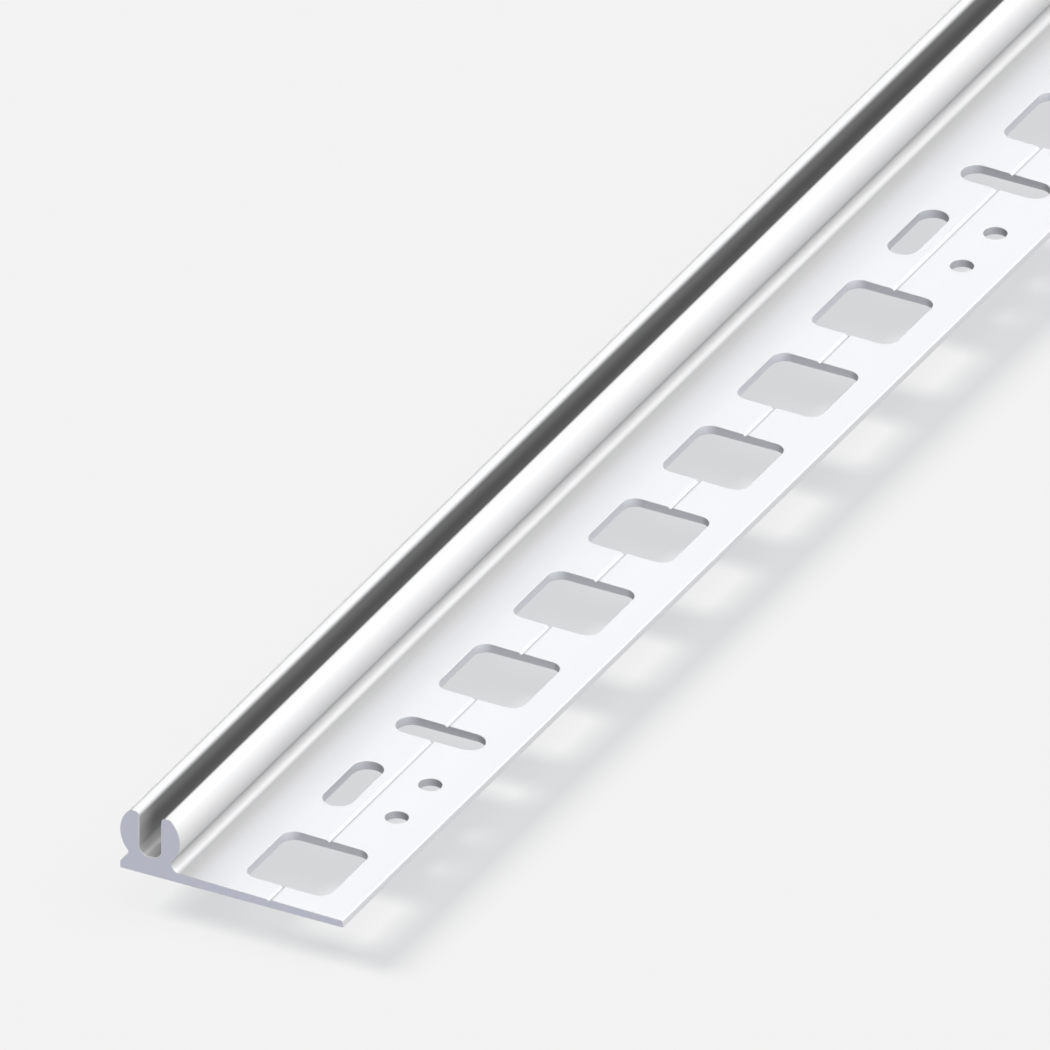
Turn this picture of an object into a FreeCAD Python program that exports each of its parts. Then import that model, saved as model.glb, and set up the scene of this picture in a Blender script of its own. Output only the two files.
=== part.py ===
import FreeCAD, Part
import math
import os
import types
import Sketcher

# Base profile of rigid white plastic: extruded in one piece, then punched.
# It is one solid: a thin fixing flange with punched holes, and beside it a clip rail
# whose two springy legs take a clip-on cover strip.
# X runs along the stock, Y across it and Z up from the surface that it lies on.
# The origin is at the middle of the underside. The flange's free edge is at the front
# (-Y) and the rail at the back (+Y). Sizes are millimetres, and angles are degrees.

SIZES = (
    # Whole stock
    ("length", 1000, "length that the stock is sold in"),
    ("width", 26, "from the flange's free edge to the rail's outer side"),
    # Fixing flange
    ("flange_edge", 0.85, "flange thickness at its free edge"),
    ("flange_root", 1.2, "flange thickness at the rail"),
    ("root_radius", 0.8, "hollow between flange and rail"),
    ("edge_radius", 0.2, "rounding of the long outer corners"),
    # Clip rail
    ("rail_height", 7.3, "top of the two legs"),
    ("rail_width", 7, "across the legs' rounded outer sides"),
    ("neck_width", 5.1, "rail's waist under the rounding"),
    ("neck_rise", 0.3, "upright part of the waist, above the hollow"),
    ("foot_height", 0.85, "upright edge of the foot"),
    ("channel_width", 2.55, "gap between the legs"),
    ("channel_floor", 2.25, "height of the gap's floor"),
    ("channel_radius", 1.0, "hollow corners of the gap's floor"),
    ("tip_width", 1.07, "level top of each leg"),
    ("tip_radius", 0.45, "rounding of the legs' inner tips"),
    # Break-off line
    ("groove_offset", 8.65, "from the free edge to the groove"),
    ("groove_floor", 0.78, "thickness left under the groove"),
    ("groove_angle", 105, "between the groove's two sides"),
    # Punched windows
    ("row_offset", 8.5, "from the free edge to the windows' centre line"),
    ("window_length", 10.25, "window along the stock"),
    ("window_width", 9.9, "window across the stock"),
    ("window_radius", 1.5, "corner of a window"),
    ("window_pitch", 16.5, "between neighbouring windows"),
    ("row_windows", 5, "windows in the unbroken row"),
    # Punched slots and pin holes
    ("slot_step", 16.3, "from the single window to the lengthwise slot"),
    ("cross_step", 13.2, "from the lengthwise slot to the cross slot"),
    ("row_step", 13, "from the cross slot to the row"),
    ("slot_width", 3.4, "width of both kinds of slot"),
    ("slot_length", 9.75, "lengthwise slot, end to end"),
    ("cross_length", 10.1, "cross slot, end to end"),
    ("pin_diameter", 2.5, "pin hole"),
    ("pin_spacing", 7.4, "between the two pin holes of a pair"),
)

# Values that follow from the sizes above. A repeat starts and ends in the middle of
# the web between two windows, and a copy that would start past the last hole is left out.
DERIVED = (
    ("rail_centre", "width - rail_width / 2", "free edge to the rail's centre line"),
    ("top_reach", "channel_width / 2 + tip_width", "rail's centre line to a leg's outer tip"),
    ("shoulder_height", "flange_root + root_radius", "bottom of the waist, both sides"),
    ("bulge_foot", "shoulder_height + neck_rise", "where the legs' rounding starts"),
    ("web", "window_pitch - window_length", "plastic between two windows"),
    ("window_at", "window_pitch / 2", "single window, from the start of a repeat"),
    ("slot_at", "window_at + slot_step", "lengthwise slot and its pin holes"),
    ("cross_at", "slot_at + cross_step", "cross slot"),
    ("row_at", "cross_at + row_step", "first window of the row"),
    ("repeat", "row_at + (row_windows - 1) * window_pitch + window_at", "whole repeat"),
    ("copies", "ceil((length - web / 2) / repeat)", "repeats along the stock"),
    ("slot_offset", "row_offset + (window_width - slot_width) / 2", "flush with the windows"),
    ("pin_offset", "row_offset - (cross_length - pin_diameter) / 2", "flush with the cross slot"),
)

ORIGIN_POINT = (-1, 1)
START, END, CENTRE = range(1, 4)
NEAR = 1e-4


def make_sheet(document):
    """Write the sizes and what follows from them, one named cell each."""
    sheet = document.addObject("Spreadsheet::Sheet", "Sizes")
    rows = [(alias, str(number), note) for alias, number, note in SIZES]
    rows += [(alias, "=" + formula, note) for alias, formula, note in DERIVED]
    for row, (alias, content, note) in enumerate(rows, start=1):
        sheet.set("A%d" % row, alias)
        sheet.set("B%d" % row, content)
        sheet.setAlias("B%d" % row, alias)
        sheet.set("C%d" % row, note)
    document.recompute()
    return sheet


def origin_feature(body, role):
    """One of the body's own origin planes or axes."""
    return next(item for item in body.Origin.OriginFeatures if item.Role == role)


def add_sketch(body, plane_role, name, offset):
    """Attach a sketch to an origin plane, with its zero moved by the named amounts."""
    sketch = body.newObject("Sketcher::SketchObject", name)
    sketch.AttachmentSupport = [(origin_feature(body, plane_role), "")]
    sketch.MapMode = "FlatFace"
    for axis, expression in offset.items():
        sketch.setExpression("AttachmentOffset.Base." + axis, expression)
    return sketch


def section_sketch(body, name):
    """Sketch across the stock: right from the flange's free edge, and up."""
    return add_sketch(body, "YZ_Plane", name, {"x": "-Sizes.width / 2"})


def punch_sketch(body, name):
    """Sketch seen from above: right from the sawn end, and up from the free edge."""
    offset = {"x": "-Sizes.length / 2", "y": "-Sizes.width / 2"}
    return add_sketch(body, "XY_Plane", name, offset)


def constrain(sketch, kind, *places):
    """Add constraints of one kind, each given as a tuple of places."""
    for place in places:
        sketch.addConstraint(Sketcher.Constraint(kind, *place))


def set_size(sketch, kind, places, name, expression):
    """Add a dimension that keeps the value of an expression."""
    value = float(sketch.evalExpression(expression))
    index = sketch.addConstraint(Sketcher.Constraint(kind, *places, value))
    sketch.renameConstraint(index, name)
    sketch.setExpression("Constraints." + name, expression)


def place_point(sketch, point, name, across, up):
    """Dimension a point from the sketch's origin, across and up."""
    set_size(sketch, "DistanceX", (*ORIGIN_POINT, *point), name + "_x", across)
    set_size(sketch, "DistanceY", (*ORIGIN_POINT, *point), name + "_y", up)


def add_chain(sketch, edges, joint="Coincident"):
    """Draw a closed chain of edges, each joined to the next, and return their numbers."""
    numbers = [sketch.addGeometry(edge, False) for edge in edges]
    followers = numbers[1:] + numbers[:1]
    constrain(sketch, joint, *[(a, END, b, START) for a, b in zip(numbers, followers)])
    return numbers


def line(start, end):
    """Straight edge between two points of the sketch."""
    return Part.LineSegment(FreeCAD.Vector(*start, 0), FreeCAD.Vector(*end, 0))


def circle(centre, radius):
    """Full circle in the sketch."""
    return Part.Circle(FreeCAD.Vector(*centre, 0), FreeCAD.Vector(0, 0, 1), radius)


def arc(centre, radius, first, last):
    """Round edge between two angles, counter-clockwise."""
    return Part.ArcOfCircle(circle(centre, radius), math.radians(first), math.radians(last))


def draw_outline(sketch, size):
    """Flange, foot, waist and the rounded rail, without the gap between its legs."""
    centre, reach = size.rail_centre, size.top_reach
    half_neck = size.neck_width / 2
    corners = [
        (0, 0),
        (size.width, 0),
        (size.width, size.foot_height),
        (centre + half_neck, size.shoulder_height),
        (centre + half_neck, size.bulge_foot),
        (centre + reach, size.rail_height),
        (centre - reach, size.rail_height),
        (centre - half_neck, size.bulge_foot),
        (centre - half_neck, size.flange_root),
        (0, size.flange_edge),
    ]
    edges = [line(a, b) for a, b in zip(corners, corners[1:] + corners[:1])]
    edges[4] = bowed_edge(corners[4], corners[5], size.width)
    edges[6] = bowed_edge(corners[6], corners[7], size.width - size.rail_width)
    numbers = add_chain(sketch, edges)
    underside, foot, slope, neck, bulge, top, front_bulge, front_neck, flange, edge = numbers
    constrain(sketch, "Horizontal", (underside,), (top,))
    constrain(sketch, "Vertical", (foot,), (neck,), (front_neck,), (edge,))
    constrain(sketch, "Coincident", (underside, START, *ORIGIN_POINT))
    constrain(sketch, "Tangent", (bulge, foot))
    constrain(sketch, "Equal", (front_bulge, bulge))
    place_point(sketch, (foot, END), "foot", "Sizes.width", "Sizes.foot_height")
    place_point(sketch, (slope, END), "shoulder", "Sizes.rail_centre + Sizes.neck_width / 2",
                "Sizes.shoulder_height")
    place_point(sketch, (front_neck, END), "root", "Sizes.rail_centre - Sizes.neck_width / 2",
                "Sizes.flange_root")
    place_point(sketch, (bulge, END), "tip", "Sizes.rail_centre + Sizes.top_reach",
                "Sizes.rail_height")
    set_size(sketch, "DistanceX", (top, END, top, START), "top", "2 * Sizes.top_reach")
    set_size(sketch, "DistanceY", (*ORIGIN_POINT, bulge, START), "back_waist", "Sizes.bulge_foot")
    set_size(sketch, "DistanceY", (*ORIGIN_POINT, front_bulge, END), "front_waist",
             "Sizes.bulge_foot")
    set_size(sketch, "DistanceY", (*ORIGIN_POINT, flange, END), "edge", "Sizes.flange_edge")


def bowed_edge(start, end, widest):
    """Round edge between two points that swells out to the widest place."""
    middle = (widest, (start[1] + end[1]) / 2)
    return Part.ArcOfCircle(*[FreeCAD.Vector(*place, 0) for place in (start, middle, end)])


def draw_channel(sketch, size):
    """Gap between the legs, open at the top, with hollow corners at its floor."""
    left = size.rail_centre - size.channel_width / 2
    right = size.rail_centre + size.channel_width / 2
    radius = size.channel_radius
    curve = size.channel_floor + radius
    numbers = [sketch.addGeometry(edge, False) for edge in (
        line((left, size.rail_height), (left, curve)),
        arc((left + radius, curve), radius, 180, 270),
        line((left + radius, size.channel_floor), (right - radius, size.channel_floor)),
        arc((right - radius, curve), radius, 270, 360),
        line((right, curve), (right, size.rail_height)),
        line((right, size.rail_height), (left, size.rail_height)),
    )]
    left_wall, left_corner, floor, right_corner, right_wall, mouth = numbers
    joints = zip(numbers[:4], numbers[1:5])
    constrain(sketch, "Tangent", *[(a, END, b, START) for a, b in joints])
    constrain(sketch, "Coincident", (right_wall, END, mouth, START), (mouth, END, left_wall, START))
    constrain(sketch, "Equal", (left_corner, right_corner))
    constrain(sketch, "Horizontal", (floor,), (mouth,))
    constrain(sketch, "Vertical", (left_wall,), (right_wall,))
    place_point(sketch, (left_wall, START), "mouth",
                "Sizes.rail_centre - Sizes.channel_width / 2", "Sizes.rail_height")
    set_size(sketch, "DistanceX", (mouth, END, mouth, START), "width", "Sizes.channel_width")
    set_size(sketch, "DistanceY", (*ORIGIN_POINT, floor, START), "floor", "Sizes.channel_floor")
    set_size(sketch, "Radius", (left_corner,), "corner", "Sizes.channel_radius")


def draw_groove(sketch, size):
    """Break-off line: a V from its floor to a mouth above the flange."""
    depth = size.flange_root - size.groove_floor
    half = depth * math.tan(math.radians(size.groove_angle / 2))
    tip = (size.groove_offset, size.groove_floor)
    right = (size.groove_offset + half, size.flange_root)
    left = (size.groove_offset - half, size.flange_root)
    edges = [line(tip, right), line(right, left), line(left, tip)]
    rail_side, mouth, free_side = add_chain(sketch, edges)
    constrain(sketch, "Horizontal", (mouth,))
    constrain(sketch, "Equal", (rail_side, free_side))
    place_point(sketch, (rail_side, START), "tip", "Sizes.groove_offset", "Sizes.groove_floor")
    set_size(sketch, "DistanceY", (*ORIGIN_POINT, mouth, START), "top", "Sizes.flange_root")
    set_size(sketch, "DistanceX", (mouth, END, mouth, START), "spread",
             "2 * (Sizes.flange_root - Sizes.groove_floor) * tan(Sizes.groove_angle * 0.5 deg)")


def draw_window(sketch, size, at, name):
    """Window with rounded corners, its middle on the row's centre line."""
    radius = size.window_radius
    middle = (getattr(size, at), size.row_offset)
    reach = size.window_length / 2 - radius
    rise = size.window_width / 2 - radius
    left, right = middle[0] - reach, middle[0] + reach
    low, high = middle[1] - rise, middle[1] + rise
    numbers = add_chain(sketch, [
        line((left, low - radius), (right, low - radius)),
        arc((right, low), radius, 270, 360),
        line((right + radius, low), (right + radius, high)),
        arc((right, high), radius, 0, 90),
        line((right, high + radius), (left, high + radius)),
        arc((left, high), radius, 90, 180),
        line((left - radius, high), (left - radius, low)),
        arc((left, low), radius, 180, 270),
    ], "Tangent")
    front, corner, far, far_corner, back, back_corner, near, near_corner = numbers
    point = sketch.addGeometry(Part.Point(FreeCAD.Vector(*middle, 0)), True)
    constrain(sketch, "Horizontal", (front,), (back,))
    constrain(sketch, "Vertical", (far,), (near,))
    constrain(sketch, "Equal", (corner, far_corner), (corner, back_corner), (corner, near_corner))
    constrain(sketch, "Symmetric", (near_corner, CENTRE, far_corner, CENTRE, point, START))
    place_point(sketch, (point, START), name + "_middle", "Sizes." + at, "Sizes.row_offset")
    set_size(sketch, "Radius", (corner,), name + "_corner", "Sizes.window_radius")
    set_size(sketch, "DistanceX", (near, END, far, START), name + "_length",
             "Sizes.window_length")
    set_size(sketch, "DistanceY", (front, END, back, START), name + "_width",
             "Sizes.window_width")


def draw_slot(sketch, size, at, offset, length, name, lengthwise):
    """Round-ended slot about the named point, along the stock or across it."""
    radius = size.slot_width / 2
    reach = getattr(size, length) / 2 - radius
    x, y = getattr(size, at), getattr(size, offset)
    if lengthwise:
        ends, sides, turn = ((x - reach, y), (x + reach, y)), (0, radius), 90
    else:
        ends, sides, turn = ((x, y - reach), (x, y + reach)), (-radius, 0), 180
    (ax, ay), (bx, by) = ends
    sx, sy = sides
    first_end, second_side, second_end, first_side = add_chain(sketch, [
        arc((ax, ay), radius, turn, turn + 180),
        line((ax - sx, ay - sy), (bx - sx, by - sy)),
        arc((bx, by), radius, turn + 180, turn + 360),
        line((bx + sx, by + sy), (ax + sx, ay + sy)),
    ], "Tangent")
    point = sketch.addGeometry(Part.Point(FreeCAD.Vector(x, y, 0)), True)
    constrain(sketch, "Equal", (first_end, second_end))
    constrain(sketch, "Horizontal" if lengthwise else "Vertical", (first_side,))
    constrain(sketch, "Symmetric", (first_end, CENTRE, second_end, CENTRE, point, START))
    place_point(sketch, (point, START), name + "_middle", "Sizes." + at, "Sizes." + offset)
    set_size(sketch, "Radius", (first_end,), name + "_end", "Sizes.slot_width / 2")
    set_size(sketch, "DistanceX" if lengthwise else "DistanceY",
             (first_end, CENTRE, second_end, CENTRE), name + "_straight",
             "Sizes.%s - Sizes.slot_width" % length)


def draw_pin_holes(sketch, size):
    """Pair of pin holes, one each side of the lengthwise slot's middle."""
    for side, name in (("-", "near"), ("+", "far")):
        x = size.slot_at + float(side + "0.5") * size.pin_spacing
        hole = sketch.addGeometry(circle((x, size.pin_offset), size.pin_diameter / 2), False)
        place_point(sketch, (hole, CENTRE), name + "_pin",
                    "Sizes.slot_at %s Sizes.pin_spacing / 2" % side, "Sizes.pin_offset")
        set_size(sketch, "Diameter", (hole,), name + "_diameter", "Sizes.pin_diameter")


def draw_group(sketch, size):
    """What each repeat has once: a window, both slots and a pair of pin holes."""
    draw_window(sketch, size, "window_at", "single")
    draw_slot(sketch, size, "slot_at", "slot_offset", "slot_length", "slot", True)
    draw_slot(sketch, size, "cross_at", "row_offset", "cross_length", "cross", False)
    draw_pin_holes(sketch, size)


def cut_through(body, sketch, name):
    """Cut a sketch right through the stock, both ways from its plane."""
    before = body.Shape.Volume
    pocket = body.newObject("PartDesign::Pocket", name)
    pocket.Profile = sketch
    pocket.Type = "ThroughAll"
    pocket.SideType = "Symmetric"
    body.Document.recompute()
    if not pocket.Shape.Volume < before:
        raise RuntimeError(name + " cuts nothing")
    return pocket


def long_edges(shape, places):
    """Names of the edges that run along the stock through the given (y, z) places."""
    names = []
    for number, edge in enumerate(shape.Edges, start=1):
        box = edge.BoundBox
        runs_along = box.YLength < NEAR and box.ZLength < NEAR
        middle = box.Center
        if runs_along and any(math.dist((middle.y, middle.z), at) < NEAR for at in places):
            names.append("Edge%d" % number)
    if len(names) != len(places):
        raise RuntimeError("found %d of %d edges to round" % (len(names), len(places)))
    return names


def round_edges(body, name, radius, places):
    """Fillet the edges along the stock at places (distance from the free edge, height)."""
    half_width = body.Document.Sizes.get("width") / 2
    base = body.Tip
    fillet = body.newObject("PartDesign::Fillet", name)
    fillet.Base = (base, long_edges(base.Shape, [(u - half_width, z) for u, z in places]))
    fillet.setExpression("Radius", radius)
    body.Document.recompute()
    return fillet


def repeat_along(body, pocket, name, steps):
    """Repeat a cut along the stock in one or two steps of (spacing, count)."""
    pattern = body.newObject("PartDesign::LinearPattern", name)
    pattern.Originals = [pocket]
    for suffix, (spacing, count) in zip(("", "2"), steps):
        setattr(pattern, "Direction" + suffix, (origin_feature(body, "X_Axis"), [""]))
        pattern.setExpression("Length" + suffix, "%s * (%s - 1)" % (spacing, count))
        pattern.setExpression("Occurrences" + suffix, count)
    body.Tip = pattern
    body.Document.recompute()
    return pattern


def extrude_section(body, size):
    """The stock before punching: outline, gap, rounded corners and break-off line."""
    outline = section_sketch(body, "Outline")
    draw_outline(outline, size)
    extrusion = body.newObject("PartDesign::Pad", "Extrusion")
    extrusion.Profile = outline
    extrusion.SideType = "Symmetric"
    extrusion.setExpression("Length", "Sizes.length")
    body.Document.recompute()

    channel = section_sketch(body, "ChannelSection")
    draw_channel(channel, size)
    cut_through(body, channel, "Channel")

    half_gap = size.channel_width / 2
    inner_tips = [(size.rail_centre + side * half_gap, size.rail_height) for side in (-1, 1)]
    outer_tips = [(size.rail_centre + side * size.top_reach, size.rail_height)
                  for side in (-1, 1)]
    root = (size.rail_centre - size.neck_width / 2, size.flange_root)
    outer_corners = outer_tips + [(0, size.flange_edge), (size.width, size.foot_height)]
    round_edges(body, "InnerTips", "Sizes.tip_radius", inner_tips)
    round_edges(body, "RootHollow", "Sizes.root_radius", [root])
    round_edges(body, "OuterCorners", "Sizes.edge_radius", outer_corners)

    groove = section_sketch(body, "GrooveSection")
    draw_groove(groove, size)
    cut_through(body, groove, "BreakOffGroove")


def punch_holes(body, size):
    """Two punches: the unbroken row of windows, and the group between two rows."""
    repeats = ("Sizes.repeat", "Sizes.copies")
    window = punch_sketch(body, "RowWindow")
    draw_window(window, size, "row_at", "row")
    row_cut = cut_through(body, window, "RowWindowCut")
    repeat_along(body, row_cut, "WindowRows", (("Sizes.window_pitch", "Sizes.row_windows"), repeats))

    group = punch_sketch(body, "Group")
    draw_group(group, size)
    group_cut = cut_through(body, group, "GroupCut")
    repeat_along(body, group_cut, "Groups", (repeats,))


def check_model(document, body):
    """Stop if any object failed, or if the piece isn't one sound solid."""
    for item in document.Objects:
        if {"Invalid", "Error"} & set(item.State):
            raise RuntimeError(item.Label + " failed: " + ", ".join(item.State))
    for sketch in document.findObjects("Sketcher::SketchObject"):
        if sketch.solve() != 0:
            raise RuntimeError(sketch.Label + " can't be solved")
    if body.Shape.isNull() or not body.Shape.isValid() or len(body.Shape.Solids) != 1:
        raise RuntimeError(body.Label + " isn't one valid solid")


def main():
    """Build the profile, check it and write it out."""
    document = FreeCAD.newDocument("MountingProfile")
    sheet = make_sheet(document)
    names = [row[0] for row in SIZES + DERIVED]
    size = types.SimpleNamespace(**{name: sheet.get(name) for name in names})
    body = document.addObject("PartDesign::Body", "Profile")
    body.Label = "mounting_profile"
    extrude_section(body, size)
    punch_holes(body, size)
    document.recompute()
    check_model(document, body)
    os.makedirs("parts", exist_ok=True)
    body.Shape.exportStep(os.path.join("parts", body.Label + ".step"))
    print(body.Label, "volume %.1f mm3" % body.Shape.Volume, body.Shape.BoundBox)


main()
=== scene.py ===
import math

import bmesh
import bpy
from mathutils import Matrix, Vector


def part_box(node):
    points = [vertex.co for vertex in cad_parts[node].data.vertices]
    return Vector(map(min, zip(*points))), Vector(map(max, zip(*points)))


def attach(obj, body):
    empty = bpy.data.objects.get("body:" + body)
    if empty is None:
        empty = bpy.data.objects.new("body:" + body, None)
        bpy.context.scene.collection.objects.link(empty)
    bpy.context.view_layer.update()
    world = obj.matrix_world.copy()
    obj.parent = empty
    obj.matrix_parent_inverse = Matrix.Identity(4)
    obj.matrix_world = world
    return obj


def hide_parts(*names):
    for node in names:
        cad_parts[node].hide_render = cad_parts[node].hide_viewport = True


bl_info = {
    "name": "Mounting profile",
    "version": (1, 0, 0),
    "blender": (4, 5, 0),
    "location": "3D View > Sidebar > Profile",
    "description": "A punched base profile of white plastic with a clip rail, on a pale floor",
    "category": "Object",
}

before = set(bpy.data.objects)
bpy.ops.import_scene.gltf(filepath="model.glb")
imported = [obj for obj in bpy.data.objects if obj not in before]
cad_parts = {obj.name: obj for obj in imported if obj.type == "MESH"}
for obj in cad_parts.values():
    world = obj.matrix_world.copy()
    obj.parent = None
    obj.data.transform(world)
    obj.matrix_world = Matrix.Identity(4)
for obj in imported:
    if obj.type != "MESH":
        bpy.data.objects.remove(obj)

NODE = "mounting_profile"
STOCK = "profile_stock"
LOW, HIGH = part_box(NODE)
MM = 0.001


# Properties

def distance(name, description, default):
    """A length that a user can change, given in millimetres."""
    return bpy.props.FloatProperty(
        name=name, description=description, default=default * MM, min=0.0,
        precision=5, subtype="DISTANCE", unit="LENGTH")


def colour(name, description, default):
    """A surface or light colour that a user can change."""
    return bpy.props.FloatVectorProperty(
        name=name, description=description, default=default, size=3,
        min=0.0, max=1.0, subtype="COLOR")


def factor(name, description, default, high=1.0):
    """A plain number from zero up."""
    return bpy.props.FloatProperty(
        name=name, description=description, default=default, min=0.0, max=high)


def angle(name, description, default):
    """An angle that a user can change, given in degrees."""
    return bpy.props.FloatProperty(
        name=name, description=description, default=math.radians(default), min=0.0,
        subtype="ANGLE", unit="ROTATION")


class SectionSizes(bpy.types.PropertyGroup):
    """Sizes across the stock, measured from the flange's free edge and the underside."""
    length: distance("Length", "Length of the stock", (HIGH.x - LOW.x) / MM)
    width: distance("Width", "Free edge to the rail's outer side", (HIGH.y - LOW.y) / MM)
    flange_edge: distance("Flange edge", "Flange thickness at its free edge", 0.85)
    flange_root: distance("Flange root", "Flange thickness at the rail", 1.2)
    root_radius: distance("Root radius", "Hollow between flange and rail", 0.8)
    edge_radius: distance("Edge radius", "Rounding of the long outer corners", 0.2)
    rail_height: distance("Rail height", "Top of the two legs", (HIGH.z - LOW.z) / MM)
    rail_width: distance("Rail width", "Across the legs' rounded outer sides", 7.0)
    neck_width: distance("Neck width", "Waist under the rounding", 5.1)
    neck_rise: distance("Neck rise", "Upright part of the waist, above the hollow", 0.3)
    foot_height: distance("Foot height", "Upright edge of the foot", 0.85)
    channel_width: distance("Channel width", "Gap between the legs", 2.55)
    channel_floor: distance("Channel floor", "Height of the gap's floor", 2.25)
    channel_radius: distance("Channel radius", "Hollow corners of the gap's floor", 1.0)
    tip_width: distance("Tip width", "Level top of each leg", 1.07)
    tip_radius: distance("Tip radius", "Rounding of the legs' inner tips", 0.45)
    groove_offset: distance("Groove offset", "Free edge to the break-off groove", 8.65)
    groove_floor: distance("Groove floor", "Thickness left under the groove", 0.78)
    groove_angle: angle("Groove angle", "Angle between the groove's two sides", 105)


class PunchSizes(bpy.types.PropertyGroup):
    """The holes that are punched through the flange, in one repeat after another."""
    repeat: distance("Repeat", "Length of one whole repeat", 125.0)
    copies: bpy.props.IntProperty(
        name="Copies", description="Repeats along the stock", default=8, min=1)
    row_offset: distance("Row offset", "Free edge to the windows' centre line", 8.5)
    window_length: distance("Window length", "Window along the stock", 10.25)
    window_width: distance("Window width", "Window across the stock", 9.9)
    window_radius: distance("Window radius", "Corner of a window", 1.5)
    window_pitch: distance("Window pitch", "Between neighbouring windows", 16.5)
    row_windows: bpy.props.IntProperty(
        name="Row windows", description="Windows in the unbroken row", default=5, min=1)
    window_at: distance("Single window", "Single window from the start of a repeat", 8.25)
    slot_at: distance("Lengthwise slot", "Lengthwise slot from the start of a repeat", 24.55)
    cross_at: distance("Cross slot", "Cross slot from the start of a repeat", 37.75)
    row_at: distance("Window row", "First window of the row", 50.75)
    slot_width: distance("Slot width", "Width of both kinds of slot", 3.4)
    slot_length: distance("Slot length", "Lengthwise slot, end to end", 9.75)
    cross_length: distance("Cross length", "Cross slot, end to end", 10.1)
    slot_offset: distance("Slot offset", "Free edge to the lengthwise slot", 11.75)
    pin_diameter: distance("Pin hole", "Diameter of a pin hole", 2.5)
    pin_spacing: distance("Pin spacing", "Between the two pin holes of a pair", 7.4)
    pin_offset: distance("Pin offset", "Free edge to the pin holes", 4.7)
    rim: distance("Rim", "Rounding of the punched and sawn edges", 0.06)


class FinishLook(bpy.types.PropertyGroup):
    """Colours and gloss of the plastic."""
    skin: colour("Extruded skin", "Smooth surface left by the die", (0.93, 0.934, 0.955))
    sawn: colour("Sawn ends", "Dull faces left by the saw", (0.69, 0.705, 0.82))
    punched: colour("Punched walls", "Walls of the punched holes", (0.62, 0.63, 0.675))
    rail_tint: colour(
        "Rail tint", "Tint of the rail's skin against the flange's", (1.0, 0.995, 0.973))
    skin_roughness: factor("Skin roughness", "Satin gloss of the skin", 0.34)
    cut_roughness: factor("Cut roughness", "Dull finish of the cut faces", 0.62)


class StageLook(bpy.types.PropertyGroup):
    """Floor, light and camera."""
    floor: colour("Floor", "Colour of the floor", (0.0413, 0.04, 0.0373))
    floor_glow: colour(
        "Floor glow", "Light that the floor gives back in shade too", (0.645, 0.652, 0.667))
    floor_size: bpy.props.FloatProperty(
        name="Floor size", description="Side of the square floor", default=9.0,
        min=1.0, subtype="DISTANCE", unit="LENGTH")
    floor_drop: distance("Floor drop", "Floor below the profile's underside", 5.0)
    open_sky: colour("Open sky", "Light from all round", (1.0, 1.0, 1.0))
    near_sky: colour("Near sky", "Light from the side of the near end", (0.42, 0.43, 0.50))
    sky: factor("Sky", "Strength of the light from all round", 6.4, 20.0)
    dim_sky: factor("Dim side", "Share of the light away from the sky's bright side", 0.025)
    key: factor(
        "Key light", "Strength of the light that throws the shadow on the floor", 20.4, 40.0)
    key_softness: angle("Key softness", "Angle that the key light fills", 27)
    fill: factor("Fill light", "Strength of the low light on the rail's outer side", 1.6, 20.0)
    fill_softness: angle("Fill softness", "Angle that the fill light fills", 30)
    frame_width: distance("View width", "Width of the photographed view", 108.41)


# Section of the stock

# Straight steps in each kind of rounding
CURVE_STEPS = {"bulge": 56, "edge": 6, "tip": 14, "channel": 22, "root": 22}
# Metres under which two lengths count as the same
SAME_LENGTH = 1e-12


def meet(first, along_first, second, along_second):
    """Where two lines cross, each given by a point and a direction."""
    spread = along_first.x * along_second.y - along_first.y * along_second.x
    gap = second - first
    return first + along_first * ((gap.x * along_second.y - gap.y * along_second.x) / spread)


def rounding(before, corner, after, radius, steps):
    """Points of the arc that rounds a corner off between its two neighbours."""
    back, ahead = (before - corner).normalized(), (after - corner).normalized()
    half = back.angle(ahead) / 2
    centre = corner + (back + ahead).normalized() * (radius / math.sin(half))
    start = corner + back * (radius / math.tan(half)) - centre
    end = corner + ahead * (radius / math.tan(half)) - centre
    turn = start.angle_signed(end)
    return [centre + turned(start, -turn * step / steps) for step in range(steps + 1)]


def turned(vector, angle):
    """A flat vector turned by an angle, counter-clockwise."""
    c, s = math.cos(angle), math.sin(angle)
    return Vector((vector.x * c - vector.y * s, vector.x * s + vector.y * c))


def bulge_arc(foot, tip, widest, steps):
    """Points from foot to tip on the circle that just touches an upright line."""
    side = 1 if widest > foot.x else -1
    a, b = side * (widest - foot.x), side * (widest - tip.x)
    rise = tip.y - foot.y
    # Circle through both ends whose centre is one radius from the upright line
    if abs(a - b) < SAME_LENGTH:
        lift = rise / 2
    else:
        lift = rise * (a - math.sqrt(a * b * (1 + ((a - b) / rise) ** 2))) / (a - b)
    radius = (a * a + lift * lift) / (2 * a)
    centre = Vector((widest - side * radius, foot.y + lift))
    start, end = foot - centre, tip - centre
    turn = -start.angle_signed(end)
    return [centre + turned(start, turn * step / steps) for step in range(steps + 1)]


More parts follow.
